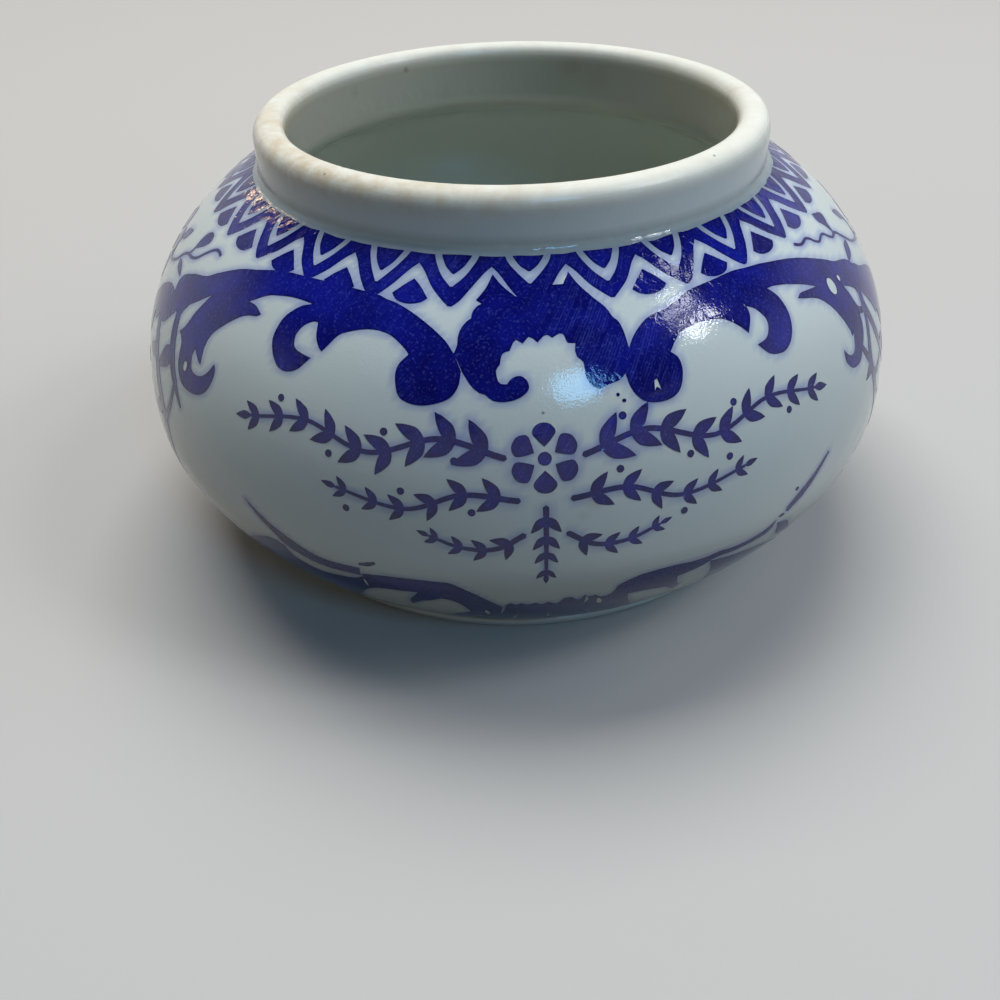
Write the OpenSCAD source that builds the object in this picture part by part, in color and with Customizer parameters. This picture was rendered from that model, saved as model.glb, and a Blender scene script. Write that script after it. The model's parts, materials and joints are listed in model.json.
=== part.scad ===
// Squat round cream pot with a plain upright collar, one piece of glazed whiteware.
// The pot stands on z = 0 with its axis on Z. All lengths are in millimetres.
// One half section is drawn as two curves, the outside and the inside, and is revolved.

/* [Belly] */
// Diameter across the widest part of the belly
belly_d = 76; // [72:0.5:80]
// Height of the widest part above the table
belly_z = 15; // [14:0.5:16]
// Thickness of the wall at the widest part
wall_t = 3.4; // [2.8:0.1:4]
// Roundness of the shoulder: 2 is an ellipse, and more is squarer
shoulder_fullness = 2.24; // [2:0.02:2.4]
// Roundness below the belly: 1 is a straight cone, and 2 is an ellipse
heel_fullness = 1.7; // [1.5:0.05:2]

/* [Collar] */
// Height of the whole pot
pot_h = 40.5; // [40:0.5:42]
// Outside diameter of the collar, which a lid slips over
collar_d = 48.4; // [47:0.2:50]
// Inside diameter of the mouth
mouth_d = 42.4; // [41:0.2:43]
// Height at which the shoulder would meet the collar without a fillet
shoulder_z = 36.1; // [35.8:0.1:36.6]
// Radius of the hollow fillet at the root of the collar
root_r = 0.8; // [0.5:0.1:1]
// Radius that rounds the outer edge of the lip
lip_outer_r = 1.4; // [0.8:0.1:1.5]
// Radius that rounds the inner edge of the lip
lip_inner_r = 1.2; // [0.8:0.1:1.4]

/* [Inside] */
// Depth of the straight bore of the mouth, with its rounded lip
mouth_depth = 5; // [4:0.5:5.5]
// Radius of the throat, where the bore opens into the belly
throat_r = 2.5; // [1.5:0.5:3]
// Angle that the throat turns through
throat_angle = 62; // [56:1:66]
// Height of the middle of the inner floor above the table
floor_z = 4.8; // [4.5:0.1:6]
// Roundness of the corner from the floor to the wall
floor_fullness = 3; // [2.4:0.1:3.4]

/* [Foot] */
// Diameter of the foot band
foot_d = 58.4; // [55:0.2:60]
// Height of the foot band
foot_h = 0.9; // [0.6:0.1:1.2]
// How far the foot band stands out past the end of the wall
foot_ledge = 0.3; // [0.1:0.05:0.5]
// Width of the bare ring that the pot stands on
foot_ring_w = 2.6; // [2:0.1:4]
// Radius that rounds the bottom edge of the foot band
foot_edge_r = 0.35; // [0.2:0.05:0.5]
// How far the underside is hollowed above the table
hollow_h = 1.5; // [1:0.1:1.8]
// Radius of the corner between the foot ring and the hollow
hollow_r = 1; // [0.5:0.1:1]

/* [Smoothness] */
// Number of steps in each long curve of the section
curve_steps = 18; // [12:1:40]
// Number of steps in each rounded edge
edge_steps = 5; // [4:1:12]
// Number of flats used to draw round shapes
$fn = 120; // [48:12:180]

/* [Hidden] */

belly_r = belly_d / 2;
collar_r = collar_d / 2;
mouth_r = mouth_d / 2;
foot_r = foot_d / 2;
inner_r = belly_r - wall_t;

// A quarter curve that starts upright at 1 and closes at t = 1, fuller as n grows
function swell(t, n) = pow(1 - pow(t, n), 1 / n);
// Where on such a curve the radius has shrunk to the share s
function swell_at(s, n) = pow(1 - pow(s, n), 1 / n);
// How fast the curve's radius shrinks at t
function swell_slope(t, n) = pow(1 - pow(t, n), 1 / n - 1) * pow(t, n - 1);

// Points of an arc round a centre
function arc(x, z, r, a0, a1) =
    [for (i = [0:edge_steps]) let (a = a0 + (a1 - a0) * i / edge_steps) [x + r * cos(a), z + r * sin(a)]];

// The shoulder's reach is set so that it passes through the collar at shoulder_z,
// and the heel's reach so that it passes through the top of the foot band
shoulder_reach = (shoulder_z - belly_z) / swell_at(collar_r / belly_r, shoulder_fullness);
heel_r = foot_r - foot_ledge;
heel_reach = (belly_z - foot_h) / swell_at(heel_r / belly_r, heel_fullness);

// The fillet at the root of the collar touches the upright collar and the sloping shoulder
root_t = swell_at((collar_r + root_r / 2) / belly_r, shoulder_fullness);
root_slope = belly_r / shoulder_reach * swell_slope(root_t, shoulder_fullness);
root_angle = atan(1 / root_slope);
root_touch_r = collar_r + root_r * (1 - sin(root_angle));
root_touch_t = swell_at(root_touch_r / belly_r, shoulder_fullness);
root_touch_z = belly_z + shoulder_reach * root_touch_t;
root_centre_z = root_touch_z + root_r * cos(root_angle);

// The inside curve passes through the lower end of the throat
throat_top_z = pot_h - mouth_depth;
throat_end_r = mouth_r + throat_r * (1 - cos(throat_angle));
throat_end_z = throat_top_z - throat_r * sin(throat_angle);
inner_reach = (throat_end_z - belly_z) / swell_at(throat_end_r / inner_r, shoulder_fullness);
inner_depth = belly_z - floor_z;

// Steps crowd together towards 1, where a curve turns fastest
function eased(i, n) = sin(90 * i / n);

// From the top of the foot band up to the belly
function heel_curve() =
    let (low = (belly_z - foot_h) / heel_reach)
    [for (i = [curve_steps:-1:1]) let (t = low * i / curve_steps)
        [belly_r * swell(t, heel_fullness), belly_z - heel_reach * t]];

// From the belly up to where the fillet touches the shoulder
function shoulder_curve() =
    [for (i = [0:curve_steps]) let (t = root_touch_t * eased(i, curve_steps))
        [belly_r * swell(t, shoulder_fullness), belly_z + shoulder_reach * t]];

// From the throat down to the belly, inside
function inner_shoulder_curve() =
    let (high = (throat_end_z - belly_z) / inner_reach)
    [for (i = [curve_steps - 1:-1:0]) let (t = high * eased(i, curve_steps))
        [inner_r * swell(t, shoulder_fullness), belly_z + inner_reach * t]];

// From the belly down to the middle of the floor, inside
function floor_curve() =
    [for (i = [1:curve_steps]) let (t = eased(i, curve_steps))
        [inner_r * swell(t, floor_fullness), belly_z - inner_depth * t]];

// Upright collar with its rounded lip, from the root outside to the throat inside
function collar_curve() = concat(
    arc(collar_r + root_r, root_centre_z, root_r, 270 - root_angle, 180),
    arc(collar_r - lip_outer_r, pot_h - lip_outer_r, lip_outer_r, 0, 90),
    arc(mouth_r + lip_inner_r, pot_h - lip_inner_r, lip_inner_r, 90, 180),
    arc(mouth_r + throat_r, throat_top_z, throat_r, 180, 180 + throat_angle));

// Underside: hollow, foot ring and foot band, from the middle outwards
function foot_curve() = concat(
    [[0, hollow_h]],
    arc(foot_r - foot_ring_w - hollow_r, hollow_h - hollow_r, hollow_r, 90, 0),
    [[foot_r - foot_ring_w, 0]],
    arc(foot_r - foot_edge_r, foot_edge_r, foot_edge_r, 270, 360),
    [[foot_r, foot_h]]);

// The whole pot: one fired piece, hollow from its mouth to its floor
module pot_body() {
    color("whitesmoke")
        rotate_extrude()
            polygon(concat(
                foot_curve(),
                heel_curve(),
                shoulder_curve(),
                collar_curve(),
                inner_shoulder_curve(),
                floor_curve()));
}

pot_body();
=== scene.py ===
import json
import math
import random

import bpy
import numpy as np
from mathutils import Matrix, Vector, geometry, kdtree


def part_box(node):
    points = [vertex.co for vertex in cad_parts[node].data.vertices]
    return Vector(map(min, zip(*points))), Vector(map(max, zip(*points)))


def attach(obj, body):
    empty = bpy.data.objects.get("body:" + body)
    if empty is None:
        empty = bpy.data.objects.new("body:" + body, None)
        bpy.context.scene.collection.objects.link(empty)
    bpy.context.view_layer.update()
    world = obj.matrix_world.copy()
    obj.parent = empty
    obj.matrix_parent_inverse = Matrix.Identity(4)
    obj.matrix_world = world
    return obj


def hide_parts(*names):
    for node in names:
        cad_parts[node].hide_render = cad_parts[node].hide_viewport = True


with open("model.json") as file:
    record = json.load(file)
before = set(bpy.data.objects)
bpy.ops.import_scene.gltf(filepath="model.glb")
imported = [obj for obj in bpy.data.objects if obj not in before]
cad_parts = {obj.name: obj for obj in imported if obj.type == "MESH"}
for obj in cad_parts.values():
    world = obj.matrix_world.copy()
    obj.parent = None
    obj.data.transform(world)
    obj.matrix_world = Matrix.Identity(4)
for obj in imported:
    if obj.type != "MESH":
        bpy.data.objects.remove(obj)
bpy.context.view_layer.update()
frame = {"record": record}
mm = 0.001

# Pot body
# One piece of slip-cast whiteware: a squat belly, an upright collar, and a hollow as round as the outside.
# Half of its section is two long curves, revolved here with finer steps than the solid it stands for.
low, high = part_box("pot_body")
belly_r = (high.x - low.x) / 2 / mm
pot_h = high.z / mm
collar_r = next(m for m in frame["record"]["mounts"] if m["name"] == "lid_collar")["dims"]["r_mm"]
rim_wall = 3.0
belly_wall = 3.4
mouth_r = collar_r - rim_wall
inner_r = belly_r - belly_wall
belly_z = 15.0
shoulder_z = 36.1
shoulder_fullness = 2.24
heel_fullness = 1.7
root_fillet = 0.8
lip_outer = 1.4
lip_inner = 1.2
mouth_depth = 5.0
throat_top = pot_h - mouth_depth
throat_fillet = 2.5
throat_turn = 62
floor_z = 4.8
floor_fullness = 3.0
foot_r = 29.2
foot_h = 0.9
foot_ledge = 0.3
foot_edge = 0.35
ring_w = 2.6
ring_r = foot_r - ring_w
hollow_h = 1.5
hollow_corner = 1.0
biscuit_gap = 0.06
turn_steps = 420


def swell(t, n):
    """How much of its full radius a curve has at share t of its height; it is fuller as n grows."""
    return (1 - np.clip(t, 0, 1) ** n) ** (1 / n)


shoulder_reach = (shoulder_z - belly_z) / swell(collar_r / belly_r, shoulder_fullness)
heel_reach = (belly_z - foot_h) / swell((foot_r - foot_ledge) / belly_r, heel_fullness)


def wall_r(z):
    """Outside radius of the belly at height z."""
    shoulder = belly_r * swell((z - belly_z) / shoulder_reach, shoulder_fullness)
    heel = belly_r * swell((belly_z - z) / heel_reach, heel_fullness)
    return np.where(z > belly_z, shoulder, heel)


def wall_lean(z):
    """How fast the outside radius shrinks with height at z."""
    return (wall_r(z - 0.01) - wall_r(z + 0.01)) / 0.02


def arc(r, z, radius, start, end, steps=10):
    """Points of an arc in the section, round (r, z), from one angle to the other in degrees."""
    turn = np.radians(np.linspace(start, end, steps + 1))
    return np.stack([r + radius * np.cos(turn), z + radius * np.sin(turn)], 1)


def curve(z_from, z_to, steps, radius_of):
    """Points of a long curve of the section, closer together where it nears the collar or the floor."""
    share = np.sin(np.linspace(0, math.pi / 2, steps + 1))
    z = z_from + (z_to - z_from) * share
    return np.stack([radius_of(z), z], 1)


# The fillet of the collar's root touches the shoulder about root_drop below shoulder_z, and turns there
# to the shoulder's own slope.
root_drop = 0.3
root_turn = math.degrees(math.atan(1 / wall_lean(shoulder_z - root_drop)))
touch_r = collar_r + root_fillet * (1 - math.sin(math.radians(root_turn)))
upper_z = np.linspace(30, shoulder_z, 2001)
touch_z = np.interp(-touch_r, -wall_r(upper_z), upper_z)
throat_r = mouth_r + throat_fillet * (1 - math.cos(math.radians(throat_turn)))
throat_z = throat_top - throat_fillet * math.sin(math.radians(throat_turn))
inner_reach = (throat_z - belly_z) / swell(throat_r / inner_r, shoulder_fullness)


def inner_shoulder(z):
    """Inside radius between the belly and the throat."""
    return inner_r * swell((z - belly_z) / inner_reach, shoulder_fullness)


def inner_floor(z):
    """Inside radius between the floor and the belly."""
    return inner_r * swell((belly_z - z) / (belly_z - floor_z), floor_fullness)


# From the middle of the underside, outwards and up, over the lip and down to the middle of the inner floor.
# On both edges of the foot ring the glaze stops biscuit_gap above the table.
section = np.concatenate([
    [[0, hollow_h]],
    arc(ring_r - hollow_corner, hollow_h - hollow_corner, hollow_corner, 90, 4),
    [[ring_r, biscuit_gap]],
    arc(foot_r - foot_edge, foot_edge, foot_edge, 303, 360),
    [[foot_r, foot_h]],
    curve(belly_z, foot_h, 44, wall_r)[:0:-1],
    curve(belly_z, touch_z, 60, wall_r),
    arc(collar_r + root_fillet, touch_z + root_fillet * math.cos(math.radians(root_turn)), root_fillet,
        270 - root_turn, 180)[1:],
    arc(collar_r - lip_outer, pot_h - lip_outer, lip_outer, 0, 90, 14),
    arc(mouth_r + lip_inner, pot_h - lip_inner, lip_inner, 90, 180, 12),
    arc(mouth_r + throat_fillet, throat_top, throat_fillet, 180, 180 + throat_turn, 12),
    curve(belly_z, throat_z, 28, inner_shoulder)[-2::-1],
    curve(belly_z, floor_z, 26, inner_floor)[1:],
])


def new_object(name, data):
    """An object with this mesh, lamp or camera, in the scene."""
    made = bpy.data.objects.new(name, data)
    bpy.context.scene.collection.objects.link(made)
    return made


def revolve(name, profile, closed=False):
    """A smooth mesh of a section turned round the pot's axis. Unless closed, its two ends lie on the axis."""
    steps = turn_steps
    turn = np.linspace(0, 2 * math.pi, steps, endpoint=False)
    ring = profile if closed else profile[1:-1]
    r, z = np.repeat(ring[:, 0], steps), np.repeat(ring[:, 1], steps)
    around = np.tile(turn, len(ring))
    points = np.stack([r * np.sin(around), -r * np.cos(around), z], 1)
    rows = range(len(ring)) if closed else range(len(ring) - 1)
    faces = []
    for row in rows:
        above = (row + 1) % len(ring)
        for i in range(steps):
            j = (i + 1) % steps
            faces.append((row * steps + i, row * steps + j, above * steps + j, above * steps + i))
    if not closed:
        first, last = len(points), len(points) + 1
        points = np.concatenate([points, [[0, 0, profile[0][1]], [0, 0, profile[-1][1]]]])
        top_row = (len(ring) - 1) * steps
        for i in range(steps):
            j = (i + 1) % steps
            faces.append((j, i, first))
            faces.append((top_row + i, top_row + j, last))
    mesh = bpy.data.meshes.new(name)
    mesh.from_pydata((points * mm).tolist(), [], faces)
    mesh.polygons.foreach_set("use_smooth", [True] * len(mesh.polygons))
    mesh.update()
    return new_object(name, mesh)


pot = revolve("pot_glazed_body", section)
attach(pot, "root")
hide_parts("pot_body")


def linear(hex_colour):
    """An sRGB hex colour as the linear red, green, blue and alpha that a shader takes."""
    parts = [int(hex_colour[i:i + 2], 16) / 255 for i in (1, 3, 5)]
    return [c / 12.92 if c <= 0.04045 else ((c + 0.055) / 1.055) ** 2.4 for c in parts] + [1.0]


def add(tree, kind, inputs=None, **settings):
    """Adds a shader node of this kind, makes its settings, and sets or links its inputs."""
    made = tree.nodes.new("ShaderNode" + kind)
    for key, value in settings.items():
        setattr(made, key, value)
    for key, value in (inputs or {}).items():
        if isinstance(value, bpy.types.NodeSocket):
            tree.links.new(value, made.inputs[key])
        else:
            made.inputs[key].default_value = value
    return made


def new_material(name):
    """An empty material, its node tree and its output node."""
    material = bpy.data.materials.new(name)
    material.use_nodes = True
    tree = material.node_tree
    tree.nodes.clear()
    return material, tree, add(tree, "OutputMaterial")


def per_mm(size):
    """The scale at which a noise texture in metres has features about this many millimetres across."""
    return 1 / (size * mm)


def pooled_at_root(tree, z, bottom, top, most=1.0):
    """How much glaze lies pooled in the collar's root, which is also where the body's colour paints the
    root's shade. Bottom and top are each a height in millimetres with none, and the height from which it is
    there in full."""
    above = add(tree, "MapRange", {"Value": z, "From Min": bottom[0] * mm,
                                   "From Max": bottom[1] * mm, "To Max": most})
    under = add(tree, "MapRange", {"Value": z, "From Min": top[0] * mm, "From Max": top[1] * mm})
    return add(tree, "Math", {0: above.outputs[0], 1: under.outputs[0]},
               operation="MULTIPLY").outputs[0]


def lay_over(tree, colour, layers):
    """A colour with the colour of each layer laid over it in turn, as far as the layer's share goes."""
    for share, layer in layers:
        mixed = add(tree, "Mix", {"Factor": share, 6: colour, 7: layer}, data_type="RGBA")
        colour = mixed.outputs[2]
    return colour


def glaze_relief(tree, coords, print_edge):
    """The glaze's own surface, alike over white and blue: slow ripples, orange peel, fine bubbles,
    a ridge along the print's edge, beads where it pooled at the collar's root, and pinholes."""
    bumps = []
    for size, depth, detail in ((3.2, 0.026, 1.0), (0.6, 0.007, 2.0), (0.2, 0.008, 1.0)):
        wave = add(tree, "TexNoise", {"Vector": coords, "Scale": per_mm(size), "Detail": detail})
        bumps.append((1.0, depth, wave.outputs["Fac"]))
    bumps.append((1.0, 0.014, print_edge))
    z = add(tree, "SeparateXYZ", {"Vector": coords}).outputs["Z"]
    beads = add(tree, "TexNoise", {"Vector": coords, "Scale": per_mm(0.9), "Detail": 0.5})
    bumps.append((pooled_at_root(tree, z, (34.9, 35.7), (37.1, 36.4)), 0.07, beads.outputs["Fac"]))
    pits = add(tree, "TexVoronoi", {"Vector": coords, "Scale": per_mm(1.9)})
    pit_depth = add(tree, "MapRange", {"Value": pits.outputs["Distance"], "From Min": 0.04,
                                       "From Max": 0.1})
    bumps.append((0.5, 0.01, pit_depth.outputs[0]))
    normal = None
    for strength, depth, height in bumps:
        bump = add(tree, "Bump", {"Strength": strength, "Distance": depth * mm, "Height": height})
        if normal:
            tree.links.new(normal, bump.inputs["Normal"])
        normal = bump.outputs["Normal"]
    return normal


# Clear lead glaze over white earthenware, fired glossy: a cool grey-white with faint iron specks, blue where
# cobalt bled into the glaze, creamy and less glossy where the lip is handled, and greener inside. Painted
# shade darkens the collar's root and the inside, with a painted brown reflection inside, and painted light
# lightens the lip.
whiteware, tree, out = new_material("glazed_white_earthenware")
coords = add(tree, "TexCoord").outputs["Object"]
z = add(tree, "SeparateXYZ", {"Vector": coords}).outputs["Z"]
clouds = add(tree, "TexNoise", {"Vector": coords, "Scale": per_mm(14), "Detail": 3.0})
glaze = add(tree, "Mix", {"Factor": clouds.outputs["Fac"], 6: linear("#BCC9C9"),
                          7: linear("#C9D2CE")}, data_type="RGBA")
haze = add(tree, "Attribute", attribute_name="blue_haze")
# In the collar's root the colour is darker: partly glaze that pooled there, partly painted shade in the
# crease
root_pool_and_shade = pooled_at_root(tree, z, (35.0, 35.9), (37.3, 36.4), 0.75)
# Inside, the glaze is greener, and duller in the neck than in the belly: painted shade and a painted brown
# reflection, with some stain
within = add(tree, "Attribute", attribute_name="inside")
neck = add(tree, "MapRange", {"Value": z, "From Min": 31 * mm, "From Max": 35.5 * mm})
inside_shade_and_tint = add(tree, "Mix", {"Factor": neck.outputs[0], 6: linear("#C6CCC2"), 7: linear("#A6A699")},
           data_type="RGBA")
# The lip: cream, and painted lighter than the body as painted light, with a little brown,
# most of it on the outside at the front and the left
lip = add(tree, "MapRange", {"Value": z, "From Min": (pot_h - 1.7) * mm,
                             "From Max": (pot_h - 0.2) * mm})
grime = add(tree, "TexNoise", {"Vector": coords, "Scale": per_mm(2.2), "Detail": 6.0,
                               "Roughness": 0.7})
patchy = add(tree, "MapRange", {"Value": grime.outputs["Fac"], "From Min": 0.3, "From Max": 0.75})
flank = add(tree, "VectorMath", {0: coords, 1: (-0.8, -0.6, 0)}, operation="DOT_PRODUCT")
turned = add(tree, "MapRange", {"Value": flank.outputs["Value"], "From Min": 8 * mm,
                                "From Max": 24 * mm, "To Min": 0.22, "To Max": 0.85})
rim_low = add(tree, "MapRange", {"Value": z, "From Min": (pot_h - 2.6) * mm,
                                 "From Max": (pot_h - 0.9) * mm})
handled = add(tree, "Math", {0: rim_low.outputs[0], 1: patchy.outputs[0]}, operation="MULTIPLY")
handled = add(tree, "Math", {0: handled.outputs[0], 1: turned.outputs[0]}, operation="MULTIPLY")
# Laid over the glaze in turn: bled cobalt, the root's pooled glaze and painted shade, the inside's tint and
# painted shade, the lip's cream and painted light, and brown where the lip is handled
layers = [(haze.outputs["Fac"], linear("#5A6ABA")), (root_pool_and_shade, linear("#8C9A9C")),
          (within.outputs["Fac"], inside_shade_and_tint.outputs[2]), (lip.outputs[0], linear("#E4E5DA")),
          (handled.outputs[0], linear("#B79A68"))]
# Old stains: on the front of the belly, on the lip, and inside the neck at the back
for turn, r, height, size, strength, colour in (
        (9.5, 37.3, 21.0, 1.3, 0.3, "#8C6A48"), (8.0, 37.5, 19.8, 0.8, 0.18, "#7E7C45"),
        (-39.5, 23.6, 40.2, 0.22, 0.7, "#4A4336"), (-128.5, 21.2, 38.0, 0.8, 0.5, "#7D6A3C"),
        (-147.5, 21.2, 39.0, 0.5, 0.45, "#6E5A3A"), (161.5, 21.2, 38.2, 2.2, 0.22, "#8A5A44"),
        (153.0, 21.2, 37.6, 2.6, 0.2, "#8A6A4C"), (98.5, 21.4, 39.6, 2.2, 0.4, "#9C7C48")):
    stain_place = Vector((math.sin(math.radians(turn)) * r, -math.cos(math.radians(turn)) * r, height)) * mm
    gap = add(tree, "VectorMath", {0: coords, 1: stain_place}, operation="DISTANCE")
    soft = add(tree, "MapRange", {"Value": gap.outputs["Value"], "From Min": size * mm,
                                  "From Max": 0.0, "To Max": strength * 1.6},
               interpolation_type="SMOOTHSTEP")
    soft = add(tree, "Math", {0: soft.outputs[0], 1: patchy.outputs[0]}, operation="MULTIPLY")
    layers.append((soft.outputs[0], linear(colour)))
# Iron specks, small brown points far apart
iron = add(tree, "TexVoronoi", {"Vector": coords, "Scale": per_mm(5.5)})
speck = add(tree, "MapRange", {"Value": iron.outputs["Distance"], "From Min": 0.032,
                               "From Max": 0.012, "To Max": 0.75})
layers.append((speck.outputs[0], linear("#4B3B28")))
gloss = add(tree, "MapRange", {"Value": lip.outputs[0], "To Min": 0.09, "To Max": 0.34})
surface = add(tree, "BsdfPrincipled", {
    "Base Color": lay_over(tree, glaze.outputs[2], layers), "Roughness": gloss.outputs[0], "IOR": 1.52,
    "Normal": glaze_relief(tree, coords, haze.outputs["Fac"])})
tree.links.new(surface.outputs[0], out.inputs[0])
pot.data.materials.append(whiteware)

# Foot ring
# The ring that the pot stands on. The glaze was wiped off it before firing, so that the pot
# didn't stick to the kiln shelf: bare biscuit, cream, dry and a little dirty.
biscuit_in = ring_r + 0.04
biscuit_out = foot_r - foot_edge + 0.06
biscuit_top = 0.14
biscuit_ring = np.array([
    [biscuit_in + 0.08, 0.0], [biscuit_out - 0.11, 0.0], [biscuit_out, 0.02],
    [biscuit_out, biscuit_top], [biscuit_in, biscuit_top], [biscuit_in, 0.03]])
foot_ring = revolve("foot_ring_biscuit", biscuit_ring, closed=True)
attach(foot_ring, "root")
biscuit, tree, out = new_material("unglazed_biscuit_earthenware")
coords = add(tree, "TexCoord").outputs["Object"]
grain = add(tree, "TexNoise", {"Vector": coords, "Scale": per_mm(0.25), "Detail": 4.0})
dirt = add(tree, "TexNoise", {"Vector": coords, "Scale": per_mm(5), "Detail": 3.0})
tone = add(tree, "Mix", {"Factor": dirt.outputs["Fac"], 6: linear("#D9CDB4"),
                         7: linear("#A8977A")}, data_type="RGBA")
bump = add(tree, "Bump", {"Strength": 0.6, "Distance": 0.03 * mm, "Height": grain.outputs["Fac"]})
surface = add(tree, "BsdfPrincipled", {
    "Base Color": tone.outputs[2], "Roughness": 0.85, "IOR": 1.5, "Normal": bump.outputs["Normal"]})
tree.links.new(surface.outputs[0], out.inputs[0])
foot_ring.data.materials.append(biscuit)

# Neck border
# Zigzags and leaves in cobalt blue all round below the collar. An engraved copper plate printed them
# on tissue, and the tissue was rubbed down on the biscuit before glazing.
# A place on the wall is (a, s): a is degrees round the axis from the front, to the right, and s is
# millimetres down the wall from a line root_s above the end of the collar.
border_repeats = 28
border_pitch = 360 / border_repeats
border_first = 2.8
root_s = 0.3
film_lift = 0.02
film_root = 0.05
nib_end = 0.7
flat_scale = 0.6  # Millimetres to a degree where the print is laid out flat
line_step = 0.22
fill_step = 0.8
row_step = fill_step * 0.87
weld = 0.0005
plate_size = 100  # Millimetres to one unit of the print_plate UV map
wall_z = np.linspace(shoulder_z, foot_h, 4001)
wall_s = root_s + np.concatenate([[0], np.cumsum(np.hypot(np.diff(wall_z), np.diff(wall_r(wall_z))))])
printed = []
films = []
chance = random.Random(7)


def z_at(s):
    """Height of the place s millimetres down the wall."""
    return np.interp(s, wall_s, wall_z)


def on_wall(a, s, lift=0.0):
    """Points in metres at places on the wall, lifted off it along its normal, and those normals."""
    z = z_at(s)
    r, lean = wall_r(z), wall_lean(z)
    length = np.hypot(1, lean)
    turn = np.radians(a)
    normal = np.stack([np.sin(turn) / length, -np.cos(turn) / length, lean / length], -1)
    point = np.stack([r * np.sin(turn), -r * np.cos(turn), z], -1)
    return (point + lift * normal) * mm, normal


def smooth_line(points):
    """A smooth curve through the points, as places line_step apart."""
    p = np.array(points, float)
    if len(p) == 2:
        return p
    p = np.concatenate([[2 * p[0] - p[1]], p, [2 * p[-1] - p[-2]]])
    line = []
    for a, b, c, d in zip(p, p[1:], p[2:], p[3:]):
        steps = max(1, round(math.hypot((c[0] - b[0]) * flat_scale, c[1] - b[1]) / line_step))
        for t in np.arange(steps) / steps:
            line.append(0.5 * (2 * b + (c - a) * t + (2 * a - 5 * b + 4 * c - d) * t ** 2
                               + (3 * b - a - 3 * c + d) * t ** 3))
    return np.array(line + [p[-2]])


def outline(*runs):
    """A closed outline. Each run is a smooth line that starts at the corner where the last run ended."""
    corner = runs[-1][-1]
    line = []
    for run in runs:
        line.append(smooth_line([corner] + list(run))[1:])
        corner = run[-1]
    return np.concatenate(line)


def stroke(points, widths):
    """The outline of a line drawn with a nib, its width in millimetres given at even steps along it."""
    line = smooth_line(points)
    scale = np.stack([np.radians(wall_r(z_at(line[:, 1]))), np.ones(len(line))], 1)
    along = np.gradient(line, axis=0) * scale
    along /= np.linalg.norm(along, axis=1)[:, None]
    half = np.interp(np.linspace(0, 1, len(line)), np.linspace(0, 1, len(widths)), widths) / 2
    across = np.stack([-along[:, 1], along[:, 0]], 1) * half[:, None] / scale
    tip = along[-1] * half[-1] / scale[-1] * nib_end
    tail = along[0] * half[0] / scale[0] * nib_end
    return np.concatenate([[line[0] - tail], line + across, [line[-1] + tip], (line - across)[::-1]])


def spot(a, s, width, height=None):
    """The outline of a round or oval spot, its size in millimetres."""
    r = wall_r(z_at(s))
    t = np.radians(np.arange(0, 360, 20))
    return np.stack([a + np.degrees(width / 2 * np.cos(t) / r), s + (height or width) / 2 * np.sin(t)], 1)


def goes_round(line, places):
    """Which of the places the closed line goes round."""
    x, y = places[:, :1], places[:, 1:]
    x0, y0 = line.T
    x1, y1 = np.roll(line, -1, axis=0).T
    side = (x1 - x0) * (y - y0) - (x - x0) * (y1 - y0)
    up = (y0 <= y) & (y1 > y) & (side > 0)
    down = (y0 > y) & (y1 <= y) & (side < 0)
    return up.sum(1) != down.sum(1)


def covered(shapes, places):
    """Which of the places lie in any of the shapes."""
    found = np.zeros(len(places), bool)
    for line in shapes:
        (a0, s0), (a1, s1) = line.min(0), line.max(0)
        near = np.flatnonzero((places[:, 0] >= a0) & (places[:, 0] <= a1)
                              & (places[:, 1] >= s0) & (places[:, 1] <= s1) & ~found)
        for some in np.array_split(near, len(near) // 4000 + 1):
            found[some] = goes_round(line, places[some])
    return found


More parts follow.
